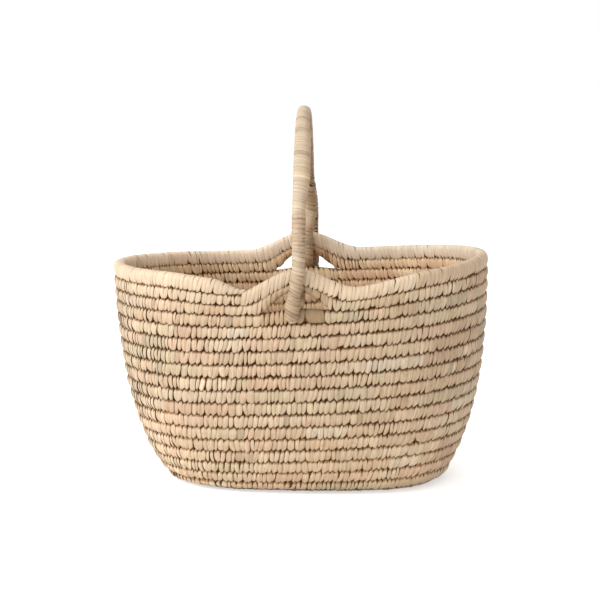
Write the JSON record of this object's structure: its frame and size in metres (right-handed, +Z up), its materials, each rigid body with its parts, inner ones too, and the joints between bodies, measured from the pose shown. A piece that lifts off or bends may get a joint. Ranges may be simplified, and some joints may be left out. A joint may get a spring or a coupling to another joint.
{
  "type": "swing handle basket",
  "caption": "Oval coiled basket with flared walls, a saddle rim, a slot under an arch in each long side, and a wrapped hoop handle that swings in the slots.",
  "frame": {"origin": "middle of the base's underside, on the floor", "axes": "+X to the right end of the oval, +Y to the back, +Z up"},
  "size_m": [0.4014, 0.3034, 0.4014],
  "materials": {
    "straw": "matt plant fibre, sewn strips over a bundle",
    "pale_straw": "matt plant fibre, close wrapped strips",
    "leaf_wrap": "matt plant fibre, bound strips"
  },
  "bodies": {
    "bowl": {"base_start": "straw", "base_round_1": "straw", "base_round_2": "straw", "base_round_3": "straw", "base_round_4": "straw", "base_round_5": "straw", "wall_round_01": "straw", "wall_round_02": "straw", "wall_round_03": "straw", "wall_round_04": "straw", "wall_round_05": "straw", "wall_round_06": "straw", "wall_round_07": "straw", "wall_round_08": "straw", "wall_round_09": "straw", "wall_round_10": "straw", "wall_round_11": "straw", "wall_round_12": "straw", "wall_round_13": "straw", "wall_round_14": "straw", "wall_round_15": "straw", "slot_round": "straw", "rim_round": "pale_straw"},
    "handle": {"handle_bundle": "pale_straw", "front_strand": "pale_straw", "back_strand": "pale_straw", "front_binding": "leaf_wrap", "back_binding": "leaf_wrap", "front_foot_wrap": "leaf_wrap", "back_foot_wrap": "leaf_wrap"}
  },
  "joints": [
    {"name": "handle_swing", "type": "hinge", "parent": "bowl", "child": "handle", "pos_m": [-0.0034, 0, 0.21343], "axis": [0, 0.9997, 0.0259], "range_deg": [-55, 55]}
  ]
}
